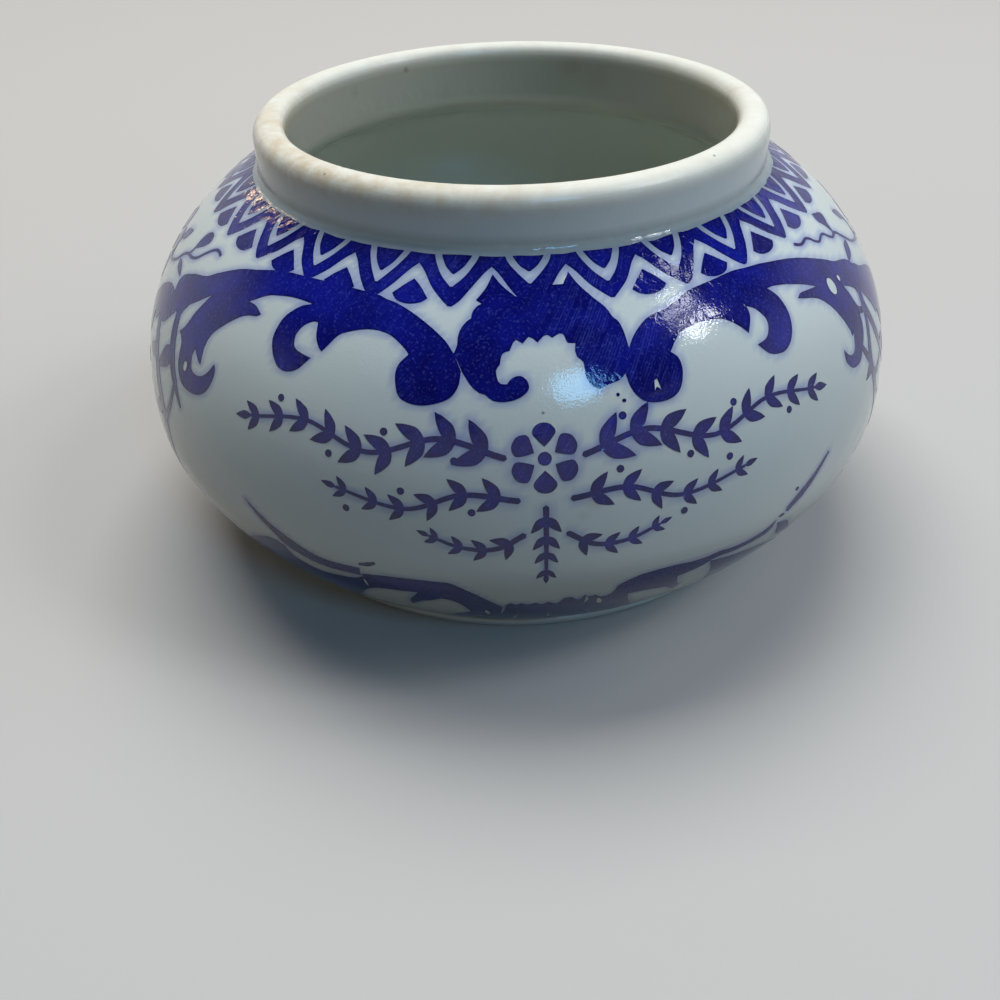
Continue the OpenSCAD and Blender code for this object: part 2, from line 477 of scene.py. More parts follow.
def print_film(name, inks, bare=(), turn=0):
    """A closed film of ink and the glaze over it, where the inks are, less the bare shapes and all
    that was printed before. Its top follows the wall just above the glaze, and its root lies inside.
    Turn carries the whole drawing that many degrees round the pot."""
    inks, bare = ([line + [turn, 0] for line in shapes] for shapes in (inks, bare))
    every = np.concatenate(inks)
    a0, s0 = every.min(0) - 0.5
    a1, s1 = every.max(0) + 0.5
    others = [line + [lap, 0] for line in printed for lap in (-360, 0, 360)]
    others = [line for line in others if (line.max(0) > [a0, s0]).all() and (line.min(0) < [a1, s1]).all()]
    points, edges = [], []
    for line in inks + bare + others:
        first = len(points)
        points += [Vector((a * flat_scale, s)) for a, s in line]
        edges += [(first + i, first + (i + 1) % len(line)) for i in range(len(line))]
    for row, s in enumerate(np.arange(s0, s1, row_step)):
        for x in np.arange(a0 * flat_scale + row % 2 * fill_step / 2, a1 * flat_scale, fill_step):
            points.append(Vector((x, s)))
    found, _, faces, *_ = geometry.delaunay_2d_cdt(points, edges, [], 0, weld, False)
    places = np.array([(x / flat_scale, s) for x, s in found])
    faces = np.array(faces)
    middle = places[faces].mean(1)
    shown = covered(inks, middle) & ~covered(bare + others, middle)
    faces = faces[shown]
    # Places that are a whole turn apart are one place, so a border closes into a ring.
    key = np.round(np.stack([places[:, 0] % 360, places[:, 1]], 1) / weld).astype(int)
    key[:, 0] %= round(360 / weld)
    _, kept, same = np.unique(key, axis=0, return_index=True, return_inverse=True)
    faces = same.reshape(-1)[faces]
    used, faces = np.unique(faces, return_inverse=True)
    faces = faces.reshape(-1, 3)
    places = places[kept[used]]
    faces = faces[(faces[:, 0] != faces[:, 1]) & (faces[:, 1] != faces[:, 2]) & (faces[:, 2] != faces[:, 0])]
    count = len(places)
    sides = np.concatenate([faces[:, [0, 1]], faces[:, [1, 2]], faces[:, [2, 0]]])
    # A side that only one face has is on the rim
    pairs = {(i, j) for i, j in sides.tolist()}
    rim = [(i, j) for i, j in pairs if (j, i) not in pairs]
    top, normal = on_wall(places[:, 0], places[:, 1], film_lift)
    root, _ = on_wall(places[:, 0], places[:, 1], -film_root)
    mesh = bpy.data.meshes.new(name)
    mesh.from_pydata(
        np.concatenate([top, root]).tolist(), [],
        faces[:, ::-1].tolist() + (faces + count).tolist() + [(i, j, j + count, i + count) for i, j in rim])
    smooth = [True] * (2 * len(faces)) + [False] * len(rim)
    mesh.polygons.foreach_set("use_smooth", smooth)
    corner = np.empty(len(mesh.loops), int)
    mesh.loops.foreach_get("vertex_index", corner)
    # The top and the root are shaded as the wall is, and the sides by their own faces
    facing = np.concatenate([normal, -normal])[corner]
    facing[6 * len(faces):] = 0
    mesh.normals_split_custom_set(facing.tolist())
    on_rim = np.zeros(2 * count)
    on_rim[[i for i, _ in rim]] = 1
    mesh.attributes.new("rim", "FLOAT", "POINT").data.foreach_set("value", on_rim)
    flat = np.concatenate([places, places]) * [flat_scale / plate_size, 1 / plate_size]
    mesh.uv_layers.new(name="print_plate").uv.foreach_set("vector", flat[corner].ravel())
    piece = new_object(name, mesh)
    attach(piece, "root")
    piece.data.materials.append(cobalt)
    printed.extend(inks + bare)
    films.append(piece)


# Cobalt blue printed under the glaze: dense and almost black-blue where the plate was cut deep, paler
# and streaked by the plate's close slanting cuts where it was worn, under the same glaze as the white.
cobalt, tree, out = new_material("cobalt_underglaze_print")
coords = add(tree, "TexCoord").outputs["Object"]
pooling = add(tree, "TexNoise", {"Vector": coords, "Scale": per_mm(5), "Detail": 4.0,
                                 "Roughness": 0.65})
depth = add(tree, "MapRange", {"Value": pooling.outputs["Fac"], "From Min": 0.35, "From Max": 0.65})
ink = add(tree, "Mix", {"Factor": depth.outputs[0], 6: linear("#0B1482"), 7: linear("#04065A")},
          data_type="RGBA")
# The plate's cuts lie 0.24 mm apart. They show in short strokes where the plate was worn, most on the shells.
cut_gap = 0.24
stroke_size = (0.4, 2.8)
plate = add(tree, "UVMap", uv_map="print_plate").outputs["UV"]
slant = add(tree, "Mapping", {"Vector": plate, "Rotation": (0, 0, math.radians(-33))})
cuts = add(tree, "TexWave", {
    "Vector": slant.outputs[0], "Scale": math.pi / 10 * plate_size / cut_gap, "Distortion": 2.2,
    "Detail": 1.5, "Detail Scale": 1.2})
strokes = add(tree, "Mapping", {"Vector": slant.outputs[0], "Scale": (
    plate_size / stroke_size[0], plate_size / stroke_size[1], 1)})
broken = add(tree, "TexNoise", {"Vector": strokes.outputs[0], "Scale": 1.0, "Detail": 3.0})
held = add(tree, "MapRange", {"Value": broken.outputs["Fac"], "From Min": 0.42, "From Max": 0.62})
worn = add(tree, "TexNoise", {"Vector": coords, "Scale": per_mm(7), "Detail": 2.0})
where = add(tree, "MapRange", {"Value": worn.outputs["Fac"], "From Min": 0.45, "From Max": 0.65,
                               "To Max": 0.36})
place = add(tree, "SeparateXYZ", {"Vector": coords})
sideways = add(tree, "Math", {0: place.outputs["X"]}, operation="ABSOLUTE")
on_shell = add(tree, "MapRange", {"Value": sideways.outputs[0], "From Min": 16 * mm,
                                  "From Max": 9 * mm, "To Min": 0.25})
streaks = cuts.outputs["Fac"]
for share in (held, where, on_shell):
    streaks = add(tree, "Math", {0: streaks, 1: share.outputs[0]}, operation="MULTIPLY").outputs[0]
grain = add(tree, "TexNoise", {"Vector": coords, "Scale": per_mm(0.22), "Detail": 3.0})
flecks = add(tree, "MapRange", {"Value": grain.outputs["Fac"], "From Min": 0.55, "From Max": 0.8,
                                "To Max": 0.3})
rim = add(tree, "Attribute", attribute_name="rim")
dense = add(tree, "MapRange", {"Value": rim.outputs["Fac"], "From Min": 0.35, "To Max": 0.75})
ink = lay_over(tree, ink.outputs[2], [(streaks, linear("#3E4EB0")), (flecks.outputs[0], linear("#5C6AC4")),
                                      (dense.outputs[0], linear("#05074E"))])
surface = add(tree, "BsdfPrincipled", {
    "Base Color": ink, "Roughness": 0.09, "IOR": 1.52,
    "Normal": glaze_relief(tree, coords, rim.outputs["Fac"])})
tree.links.new(surface.outputs[0], out.inputs[0])


def wobble(amount):
    """A small slip of the engraver's hand."""
    return chance.uniform(-amount, amount)


border_inks, border_bare = [], []
leaves_under_shells = (-3.65, 9.2, 176.35, -170.8)
for repeat in range(border_repeats):
    c = border_first + border_pitch * repeat
    if c > 180:
        c -= 360
    half = border_pitch / 2
    tip = 5.55 + wobble(0.2)
    lean = wobble(0.3)
    over_shell = 0.35 if repeat in (0, border_repeats / 2) else 0  # The V is shorter there
    # The band and its hanging point
    border_inks.append(outline(
        [(c - 4.0, 0.95 + wobble(0.08)), (c - 1.6, 1.0 + wobble(0.1)), (c + 1.0, 0.97 + wobble(0.1)),
         (c + 3.8, 0.95 + wobble(0.08)), (c + half, 1.0)],
        [(c + half, 1.45), (c + half, 1.95)],
        [(c + 5.0, 2.7), (c + 3.2, 3.98), (c + 1.5 + lean, tip - 0.55), (c + 0.3 + lean, tip)],
        [(c - 0.3 + lean, tip)],
        [(c - 1.5 + lean, tip - 0.55), (c - 3.2, 3.98), (c - 5.0, 2.7), (c - half, 1.95)],
        [(c - half, 1.45), (c - half, 1.0)]))
    # The white V in the band, open at the top
    apex = 4.0 + wobble(0.15) - over_shell
    inner = apex - 1.1 + wobble(0.1)
    border_bare.append(outline(
        [(c - 4.35, 0.5)],
        [(c - 3.65, 1.5), (c - 2.0, 2.9 - over_shell), (c - 0.2, apex)],
        [(c + 0.2, apex)],
        [(c + 2.0, 2.9 - over_shell), (c + 3.65, 1.5), (c + 4.35, 0.5)],
        [(c + 3.05, 0.5)],
        [(c + 2.75, 1.0), (c + 1.65, 0.55 * inner + 0.5), (c + 0.2, inner)],
        [(c - 0.2, inner)],
        [(c - 1.65, 0.55 * inner + 0.5), (c - 2.75, 1.0), (c - 3.05, 0.5)]))
    # The leaf between two points; none where the shell takes its place
    leaf_a = c + half
    if min(abs(leaf_a - place) for place in leaves_under_shells) > 1:
        border_inks.append(outline(
            [(leaf_a - 1.5, 4.1), (leaf_a, 3.35 + wobble(0.1))],
            [(leaf_a + 1.5, 4.1), (leaf_a + 3.0, 4.95 + wobble(0.1))],
            [(leaf_a + 1.9, 5.45), (leaf_a, 5.65), (leaf_a - 1.9, 5.45), (leaf_a - 3.0, 4.95 + wobble(0.1))]))
print_film("print_neck_border", border_inks, border_bare)

# Shells
# A ribbed shell heads the panel on the front and the one on the back. It grows out of the neck border,
# and its plate was cut in close slanting lines that show where the ink is thin.
panels = (("front", 0), ("back", 180))
shell = outline(
    [(14.75, 11.5)],
    [(13.9, 11.9), (12.5, 12.1), (11.5, 12.3), (10.9, 12.4)],
    [(10.0, 12.0), (9.5, 11.4), (9.4, 10.7), (9.3, 10.2), (8.6, 9.8)],
    [(8.4, 9.3), (8.6, 8.7)],
    [(7.5, 8.6), (7.1, 8.0), (6.5, 7.85), (5.4, 8.15)],
    [(4.8, 7.9), (4.3, 7.95), (3.3, 8.45)],
    [(2.6, 8.1), (2.1, 8.0), (1.2, 8.5)],
    [(0.3, 8.2), (-0.1, 8.4), (-0.6, 9.05)],
    [(-1.5, 9.25), (-1.8, 9.6), (-1.9, 10.1)],
    [(-2.3, 10.4), (-2.4, 10.8), (-2.1, 11.4), (-1.6, 11.6), (-0.95, 11.6)],
    [(-0.5, 11.25), (0.1, 11.05), (0.8, 11.0), (1.5, 11.25), (1.9, 11.8), (1.5, 12.3), (0.3, 12.75),
     (-1.3, 12.95), (-2.8, 12.85), (-3.8, 12.4), (-4.5, 12.3), (-5.6, 11.8), (-6.4, 11.2), (-7.0, 10.7)],
    [(-8.3, 9.35)],
    [(-7.95, 8.7), (-7.95, 8.0), (-7.6, 7.3), (-6.9, 6.75), (-6.3, 6.5)],
    [(-6.2, 6.0), (-5.6, 5.5), (-4.9, 5.25)],
    [(-5.8, 4.95)],
    [(-4.4, 3.9), (-3.4, 2.65)],
    [(-1.8, 3.65), (0.3, 4.6)],
    [(2.5, 4.9), (4.5, 4.3)],
    [(6.4, 3.75)],
    [(8.1, 3.75)],
    [(9.3, 2.65)],
    [(10.4, 3.75), (12.2, 5.0), (13.7, 5.9), (14.3, 6.4)],
    [(14.7, 6.95), (15.4, 7.4), (15.8, 8.2), (16.0, 9.6)])
specks = [spot(13.3, 13.0, 0.28), spot(14.0, 13.5, 0.34, 0.28)]
for side, turn in panels:
    print_film("print_shell_" + side, [shell] + specks, turn=turn)

# Scrolls
# Two leafy scrolls spring from each side of the shell and turn down to frame the panel. They were cut
# by hand, so the left one and the right one differ.
left_scroll = outline(
    [(-65.3, 11.0), (-62.6, 10.2), (-60.7, 9.8), (-57.9, 9.3), (-55.4, 8.4), (-52.6, 7.5), (-49.9, 6.8),
     (-46.6, 6.25), (-43.3, 5.7), (-40.0, 5.35), (-37.0, 5.2), (-30.0, 5.05), (-22.5, 5.2), (-20.0, 5.5),
     (-18.0, 5.75), (-15.5, 6.3), (-13.0, 7.05), (-11.0, 7.8), (-9.5, 8.5), (-8.3, 9.35)],
    [(-7.1, 10.7)],
    [(-7.3, 11.8), (-8.2, 12.7), (-9.8, 13.2), (-12.0, 13.5), (-14.0, 13.35), (-15.2, 12.9), (-15.8, 12.0),
     (-16.0, 11.2), (-15.7, 10.5), (-14.6, 9.7)],
    [(-15.3, 9.3), (-16.5, 8.8), (-18.0, 8.35), (-20.0, 8.15), (-22.0, 8.25), (-24.0, 8.6), (-25.7, 9.1),
     (-26.7, 9.9), (-27.6, 10.7)],
    [(-28.3, 10.4), (-29.2, 9.7), (-29.85, 8.5)],
    [(-30.8, 8.6), (-32.0, 9.1), (-32.7, 10.0), (-32.2, 10.9), (-31.0, 11.2), (-29.0, 11.4)],
    [(-30.5, 12.5), (-32.0, 12.95), (-33.4, 12.95), (-34.5, 12.6), (-35.7, 11.8), (-36.5, 10.7), (-36.2, 9.2),
     (-35.2, 8.3), (-33.8, 7.6), (-32.1, 7.2)],
    [(-34.0, 7.15), (-36.5, 7.2), (-39.0, 7.45), (-41.3, 7.85), (-44.2, 8.9)],
    [(-42.3, 9.0), (-40.6, 9.45)],
    [(-41.3, 9.75), (-43.5, 10.1), (-45.5, 10.9), (-47.5, 12.0), (-48.9, 13.0), (-49.4, 14.2), (-49.1, 15.8)],
    [(-50.0, 15.6), (-51.5, 14.9)],
    [(-51.8, 15.7), (-51.0, 16.7), (-49.8, 16.85), (-48.5, 16.7), (-47.1, 16.1), (-45.9, 15.0)],
    [(-45.3, 15.6), (-45.7, 16.8), (-46.8, 17.8), (-48.5, 18.4), (-50.5, 18.65), (-52.7, 18.6), (-54.2, 18.1),
     (-55.3, 17.1), (-56.0, 15.4), (-57.7, 14.75)],
    [(-56.5, 14.0), (-55.2, 12.2), (-53.4, 10.2)],
    [(-56.5, 11.6), (-58.3, 12.4), (-59.6, 13.6)],
    [(-61.5, 13.9), (-63.5, 13.8), (-65.5, 13.0), (-66.3, 11.9)])
left_hollow = spot(-53.0, 16.9, 0.7, 0.9)
right_scroll = outline(
    [(16.8, 8.9), (18.0, 8.2), (19.5, 7.6), (21.0, 7.3), (23.0, 7.1), (25.5, 6.6), (28.0, 6.1), (31.0, 5.9),
     (35.0, 5.75), (38.0, 5.7), (41.0, 5.9), (44.0, 6.1), (47.0, 6.45), (50.0, 6.85), (53.0, 7.4),
     (55.5, 8.0), (58.0, 8.7), (60.0, 9.3), (62.0, 10.0), (64.5, 10.5), (66.5, 11.0), (68.0, 11.8),
     (68.7, 12.7)],
    [(69.5, 13.3), (72.0, 13.9), (75.5, 14.5), (80.0, 16.6)],
    [(77.0, 17.4), (73.5, 17.3), (70.8, 16.6), (68.6, 15.4), (65.4, 14.0)],
    [(65.0, 14.9), (63.8, 15.7)],
    [(62.3, 15.5), (61.3, 15.3)],
    [(61.0, 16.2), (60.0, 17.1), (58.2, 18.0), (57.0, 18.6), (55.5, 18.7), (53.8, 18.4), (52.5, 17.5),
     (52.6, 16.4)],
    [(53.5, 17.05), (54.6, 17.4), (55.8, 17.2), (57.1, 15.9)],
    [(56.3, 16.1)],
    [(55.9, 15.0), (54.6, 13.3), (53.5, 12.3), (52.0, 11.4), (50.5, 10.9), (49.0, 10.6), (47.2, 10.2)],
    [(48.5, 9.95), (50.5, 10.1), (52.8, 10.3)],
    [(50.5, 9.6), (48.0, 9.0), (46.0, 8.6), (44.0, 8.3), (42.3, 8.2)],
    [(43.4, 9.1), (43.8, 10.2), (43.6, 11.2), (42.8, 12.2), (41.5, 13.0), (40.0, 13.4), (38.5, 13.35),
     (37.0, 13.0), (35.6, 12.0)],
    [(37.5, 11.8), (38.6, 11.2), (39.0, 10.4), (38.1, 9.4), (36.7, 8.8)],
    [(36.4, 9.7), (34.9, 10.9)],
    [(34.0, 10.2), (32.5, 9.4), (31.0, 9.0), (29.0, 8.85), (27.0, 8.85), (24.5, 9.1), (23.2, 9.6),
     (21.8, 10.5)],
    [(22.7, 11.1), (22.8, 12.1), (22.0, 13.3), (20.8, 13.9), (19.0, 14.1), (17.0, 13.9), (15.8, 13.3),
     (15.1, 12.5), (14.75, 11.5)],
    [(16.0, 9.6)])
right_hollows = [
    outline([(61.8, 12.6), (63.6, 13.4), (63.9, 14.3), (63.2, 15.1)],
            [(61.6, 14.5), (61.0, 13.4), (60.3, 12.2)]),
    spot(56.9, 11.3, 1.25, 1.6), spot(60.2, 11.3, 0.5, 0.6),
    outline([(18.9, 12.3), (19.2, 13.2)], [(18.7, 12.9), (18.3, 13.2)], [(18.5, 12.4)])]
for side, turn in panels:
    print_film("print_left_scroll_" + side, [left_scroll], [left_hollow], turn)
    print_film("print_right_scroll_" + side, [right_scroll], right_hollows, turn)

# Foot scrolls
# The lower half of each panel's frame curls up from a second shell on the underside of the belly.
# The tissue was torn at the left and laid down again a little too high, so the line steps there.
torn_end = outline(
    [(-36.0, 26.1), (-34.0, 26.8), (-32.0, 27.4), (-30.3, 27.9), (-28.0, 28.6), (-26.0, 29.0), (-24.0, 29.05),
     (-20.4, 28.9)],
    [(-20.6, 30.0)],
    [(-22.0, 30.1), (-25.0, 30.25), (-27.5, 30.1), (-30.0, 29.6), (-32.0, 28.9)],
    [(-33.5, 27.8), (-35.5, 26.8), (-37.8, 25.4)])
lower_left_leaf = outline(
    [(-22.0, 30.9), (-25.5, 31.5), (-28.0, 31.7), (-31.0, 30.9), (-32.4, 29.3)],
    [(-34.5, 29.0), (-37.5, 29.9), (-41.0, 31.6), (-45.0, 34.6)],
    [(-41.8, 36.2), (-38.8, 35.0)],
    [(-38.0, 37.2), (-34.8, 37.6), (-33.6, 36.0)],
    [(-32.6, 38.4), (-29.5, 39.2)],
    [(-28.6, 37.0), (-27.2, 35.2)],
    [(-26.6, 37.4), (-25.8, 38.8)],
    [(-24.4, 37.2), (-23.0, 35.0), (-21.5, 33.3), (-20.4, 32.5)],
    [(-20.4, 30.2)])
lower_shell = outline(
    [(-17.0, 29.3), (-13.0, 29.05), (-10.0, 29.0), (-8.3, 29.1), (-6.0, 30.2), (-4.5, 31.2), (-3.0, 32.4),
     (-2.1, 33.2)],
    [(-1.0, 32.2)],
    [(-0.3, 32.6), (0.4, 32.3)],
    [(1.3, 32.6), (2.4, 32.3)],
    [(3.2, 32.7), (4.0, 32.2)],
    [(5.2, 32.7), (6.0, 31.7), (7.0, 31.5)],
    [(8.1, 32.3), (8.8, 31.3)],
    [(9.5, 31.9), (10.2, 31.6)],
    [(11.0, 32.2), (12.3, 32.0), (13.0, 30.4)],
    [(14.5, 29.7), (16.0, 29.3), (18.0, 29.15), (20.5, 29.1), (22.5, 29.3), (25.0, 29.35), (27.0, 29.2),
     (30.0, 29.4), (34.0, 29.15), (36.3, 28.3)],
    [(35.5, 29.6), (33.0, 29.95), (30.0, 30.1), (27.0, 30.0), (24.5, 30.8), (21.6, 31.3)],
    [(22.3, 32.8), (23.2, 34.0), (22.8, 35.0)],
    [(21.6, 33.9), (20.3, 33.2), (18.0, 32.8), (15.0, 32.6)],
    [(15.4, 34.0), (16.4, 35.8), (17.6, 37.4)],
    [(16.0, 38.8), (12.6, 39.0), (11.0, 37.6)],
    [(9.4, 40.0), (6.0, 40.3), (4.6, 38.4)],
    [(3.2, 40.6), (0.2, 40.5), (-0.8, 38.4)],
    [(-2.4, 40.2), (-5.6, 39.8), (-6.4, 37.8)],
    [(-7.8, 38.6), (-9.6, 38.2), (-9.4, 37.0)],
    [(-7.8, 36.1), (-6.8, 35.2), (-7.0, 34.0), (-7.8, 32.8), (-9.0, 32.1), (-10.2, 31.95)],
    [(-11.5, 32.6), (-13.3, 33.3), (-14.9, 34.5)],
    [(-14.8, 33.3), (-13.1, 31.2)],
    [(-15.0, 31.4), (-17.0, 31.6), (-18.9, 31.9), (-20.4, 32.5)],
    [(-20.4, 29.75)])
lower_right_leaf = outline(
    [(30.0, 31.0), (34.0, 31.6), (38.0, 32.6), (42.0, 34.0), (46.0, 36.2)],
    [(42.6, 36.9), (40.4, 36.2)],
    [(39.8, 38.2), (37.2, 38.3), (36.2, 36.8)],
    [(35.0, 39.2), (32.4, 39.5), (31.8, 37.6)],
    [(29.6, 36.6), (28.2, 33.8), (26.2, 30.4)])
# Bare slits between the ribs of the shell
slits = [outline([(-4.2, 34.4), (-3.9, 35.4), (-4.3, 36.3)], [(-4.7, 35.2), (-4.5, 34.2)]),
         stroke([(-1.8, 32.9), (-2.0, 34.0), (-2.4, 35.6)], [0.3, 0.25, 0.1]),
         outline([(10.9, 32.5), (11.6, 33.4), (11.5, 34.2)], [(10.8, 33.6), (10.6, 32.4)]),
         stroke([(9.0, 31.6), (9.2, 32.4), (9.0, 33.2)], [0.15, 0.3, 0.1]),
         stroke([(11.0, 37.7), (10.2, 36.4), (9.0, 35.2)], [0.45, 0.3, 0.12]),
         stroke([(4.6, 38.5), (4.5, 36.8), (4.2, 35.0)], [0.45, 0.3, 0.12]),
         stroke([(-0.8, 38.5), (-0.4, 36.9), (0.2, 35.4)], [0.45, 0.3, 0.12]),
         stroke([(-6.4, 37.9), (-5.4, 36.9), (-3.8, 36.4)], [0.45, 0.3, 0.12])]
# Ink that strayed where the tissue slipped, and the ends of the lines
marks = [stroke([(38.0, 27.6), (39.5, 27.0), (42.5, 25.8), (45.9, 24.1)], [0.7, 0.85, 0.55, 0.25]),
         spot(37.1, 28.0, 0.7, 0.4), spot(39.3, 25.8, 0.5, 0.4),
         stroke([(-20.2, 28.3), (-19.0, 28.1), (-18.0, 27.75)], [0.3, 0.5, 0.3]),
         outline([(39.5, 29.6), (42.0, 32.0)], [(38.8, 31.4), (36.9, 28.9)])]
for side, turn in panels:
    print_film("print_foot_scrolls_" + side,
               [lower_shell, torn_end, lower_left_leaf, lower_right_leaf] + marks, slits, turn)

# Sprigs
# Thin tendrils with a leaf or two fill the corners between the neck border and the scrolls.
def beside(a, s, x, y):
    """The place x millimetres to the right of a place and y millimetres below it."""
    return a + math.degrees(x / float(wall_r(z_at(s)))), s + y


def leaf(a, s, length, width, heading, blunt=False):
    """A leaf from its stalk's end. Heading 0 points to the right, and 90 points down."""
    cos, sin = math.cos(math.radians(heading)), math.sin(math.radians(heading))

    def at(along, across):
        along, across = along * length, across * width
        return beside(a, s, along * cos - across * sin, along * sin + across * cos)

    if blunt:
        return outline([at(0.3, -0.3), at(0.62, -0.5), at(0.92, -0.3), at(1.0, 0), at(0.92, 0.3),
                        at(0.62, 0.5), at(0.3, 0.3), at(0, 0)])
    return outline([at(0.15, -0.3), at(0.4, -0.5), at(0.75, -0.3), at(1, 0)],
                   [at(0.75, 0.3), at(0.4, 0.5), at(0.15, 0.3), at(0, 0)])


left_sprig = [
    stroke([(-58.3, 7.15), (-60.0, 7.0), (-61.5, 7.3), (-63.5, 8.2), (-65.0, 9.0), (-67.0, 9.5), (-69.5, 9.7),
            (-71.5, 10.3), (-74.0, 11.6), (-78.0, 12.6), (-82.0, 12.8)], [0.3, 0.26, 0.3, 0.34, 0.4]),
    outline([(-68.1, 6.9), (-66.8, 6.45), (-65.3, 6.55), (-64.7, 7.1), (-65.5, 7.75), (-67.1, 8.35),
             (-68.6, 8.9)], [(-68.7, 7.8), (-68.1, 6.9)]),
    stroke([(-68.4, 8.6), (-68.8, 9.2), (-69.6, 9.7)], [0.3, 0.24]),
    leaf(-79.8, 10.4, 3.0, 1.3, -38),
    stroke([(-79.8, 10.4), (-79.6, 11.6), (-78.5, 12.5)], [0.3, 0.28]),
    leaf(-71.8, 10.9, 2.9, 0.8, 14)]
right_sprig = [
    stroke([(55.1, 6.4), (56.4, 6.75), (57.6, 6.8), (59.1, 6.72), (60.2, 6.95), (61.2, 7.5), (62.3, 7.85),
            (63.4, 7.8), (64.6, 7.7), (65.8, 7.85), (66.8, 8.4), (68.2, 8.85), (69.8, 8.8), (71.0, 9.15),
            (72.3, 9.9), (75.5, 11.4), (80.0, 12.4), (84.0, 12.9)], [0.3, 0.24, 0.3, 0.3, 0.4]),
    outline([(69.4, 6.2), (71.3, 6.6), (71.9, 7.0), (71.2, 7.5), (70.4, 7.9), (69.9, 8.9)],
            [(68.9, 7.7), (67.8, 6.8), (68.2, 6.0)]),
    leaf(72.4, 10.4, 3.0, 1.1, 158),
    leaf(82.0, 10.2, 2.8, 1.2, -140),
    stroke([(82.0, 10.2), (82.4, 11.4), (81.4, 12.5)], [0.3, 0.26])]
for side, turn in panels:
    print_film("print_sprigs_" + side, left_sprig + right_sprig, turn=turn)


# Side sprays
# Where the two panels meet, on the left and on the right, a flower with crossing stems and hanging leaves.
def flower(a, s, size):
    """A flat open flower: petals round a bare ring with a dark eye."""
    petals = 6
    shapes = [spot(a, s, size * 0.2)]
    for petal in range(petals):
        heading = 360 * petal / petals - 90
        x, y = (size * 0.17 * f(math.radians(heading)) for f in (math.cos, math.sin))
        shapes.append(leaf(*beside(a, s, x, y), size * 0.34, size * 0.34, heading, blunt=True))
    return shapes


def branch(places, size, pairs, berries=False):
    """A tapering stem with pairs of leaves, which get smaller towards its end, and berries between them."""
    spread = 40
    line = smooth_line(places)
    shapes = [stroke(places, [0.5, 0.4, 0.25])]
    for i in range(pairs):
        share = (i + 0.6) / pairs
        k = min(int(share * len(line)), len(line) - 2)
        a, s = line[k]
        r = float(wall_r(z_at(s)))
        heading = math.degrees(math.atan2(line[k + 1][1] - s, math.radians(line[k + 1][0] - a) * r))
        length = size * (1 - 0.4 * share)
        for hand in (-1, 1):
            shapes.append(leaf(a, s, length, length * 0.42, heading + hand * spread))
        if berries and i % 2:
            way = math.radians(heading + 90 * (1 if i % 4 > 1 else -1) - 8)
            tip = beside(a, s, 1.5 * math.cos(way), 1.5 * math.sin(way))
            shapes.append(spot(*tip, 0.62))
    shapes.append(leaf(*line[-1], size * 0.6, size * 0.24, heading))
    return shapes


# These are the ends that the front shows, and the back has the same shapes turned half way round.
right_end = [
    outline([(68.0, 12.0), (71.0, 13.0), (75.5, 14.2), (80.0, 16.4), (83.0, 20.6)],
            [(81.0, 20.2), (79.6, 18.8)],
            [(79.4, 20.4), (77.0, 20.6), (75.2, 18.8)],
            [(74.6, 20.0), (72.4, 19.6), (71.0, 17.6)],
            [(69.8, 17.6), (68.2, 16.2), (65.4, 14.0)]),
    stroke([(63.9, 14.0), (65.1, 16.6), (67.2, 19.4), (70.2, 22.0), (74.0, 24.6)], [0.8, 1.0, 0.9, 0.7, 0.3]),
    stroke([(64.1, 15.2), (62.6, 17.2), (61.4, 19.2), (61.8, 21.0), (64.2, 21.9), (67.6, 21.3)],
           [0.6, 0.8, 0.9, 0.8, 0.5]),
    stroke([(58.2, 17.5), (59.9, 19.0), (61.5, 20.4)], [0.5, 0.75, 0.7]),
    leaf(62.0, 20.2, 2.6, 1.1, 162),
    stroke([(61.8, 21.0), (63.6, 23.6), (65.4, 26.2), (64.6, 29.2), (61.2, 31.6), (55.5, 33.4),
            (49.0, 34.6)],
           [0.9, 1.1, 1.4, 1.5, 1.2, 0.8, 0.3]),
    leaf(65.2, 25.2, 3.6, 1.5, 20),
    leaf(64.4, 29.0, 3.6, 1.5, 62),
    leaf(71.5, 23.0, 3.2, 1.3, -20),
    leaf(68.4, 20.4, 3.0, 1.2, 5)]
left_end = [
    outline([(-65.0, 13.0), (-69.0, 12.9), (-73.4, 14.2), (-77.2, 16.6), (-79.4, 20.2)],
            [(-77.4, 19.8), (-76.2, 18.2)],
            [(-75.8, 19.6), (-73.6, 19.2), (-72.6, 16.8)],
            [(-70.8, 17.2), (-68.6, 15.9)],
            [(-65.4, 16.0), (-62.0, 14.1)]),
    stroke([(-60.6, 13.2), (-59.3, 15.5), (-57.2, 17.8), (-55.2, 19.2), (-52.8, 20.8)],
           [0.9, 1.3, 1.2, 0.9, 0.3]),
    leaf(-57.8, 16.6, 4.6, 2.0, 138),
    stroke([(-69.4, 14.6), (-66.4, 17.6), (-63.0, 20.6), (-60.0, 23.6), (-59.0, 27.0), (-57.6, 30.2),
            (-53.5, 32.8), (-48.0, 34.6)], [0.8, 1.2, 1.3, 1.3, 1.5, 1.3, 0.8, 0.3]),
    stroke([(-55.4, 19.0), (-56.6, 21.6), (-59.4, 24.0)], [0.4, 0.6, 0.8]),
    leaf(-64.8, 19.0, 3.6, 1.5, 170),
    leaf(-60.6, 23.0, 3.6, 1.5, 150),
    leaf(-59.0, 27.2, 3.6, 1.5, 130)]
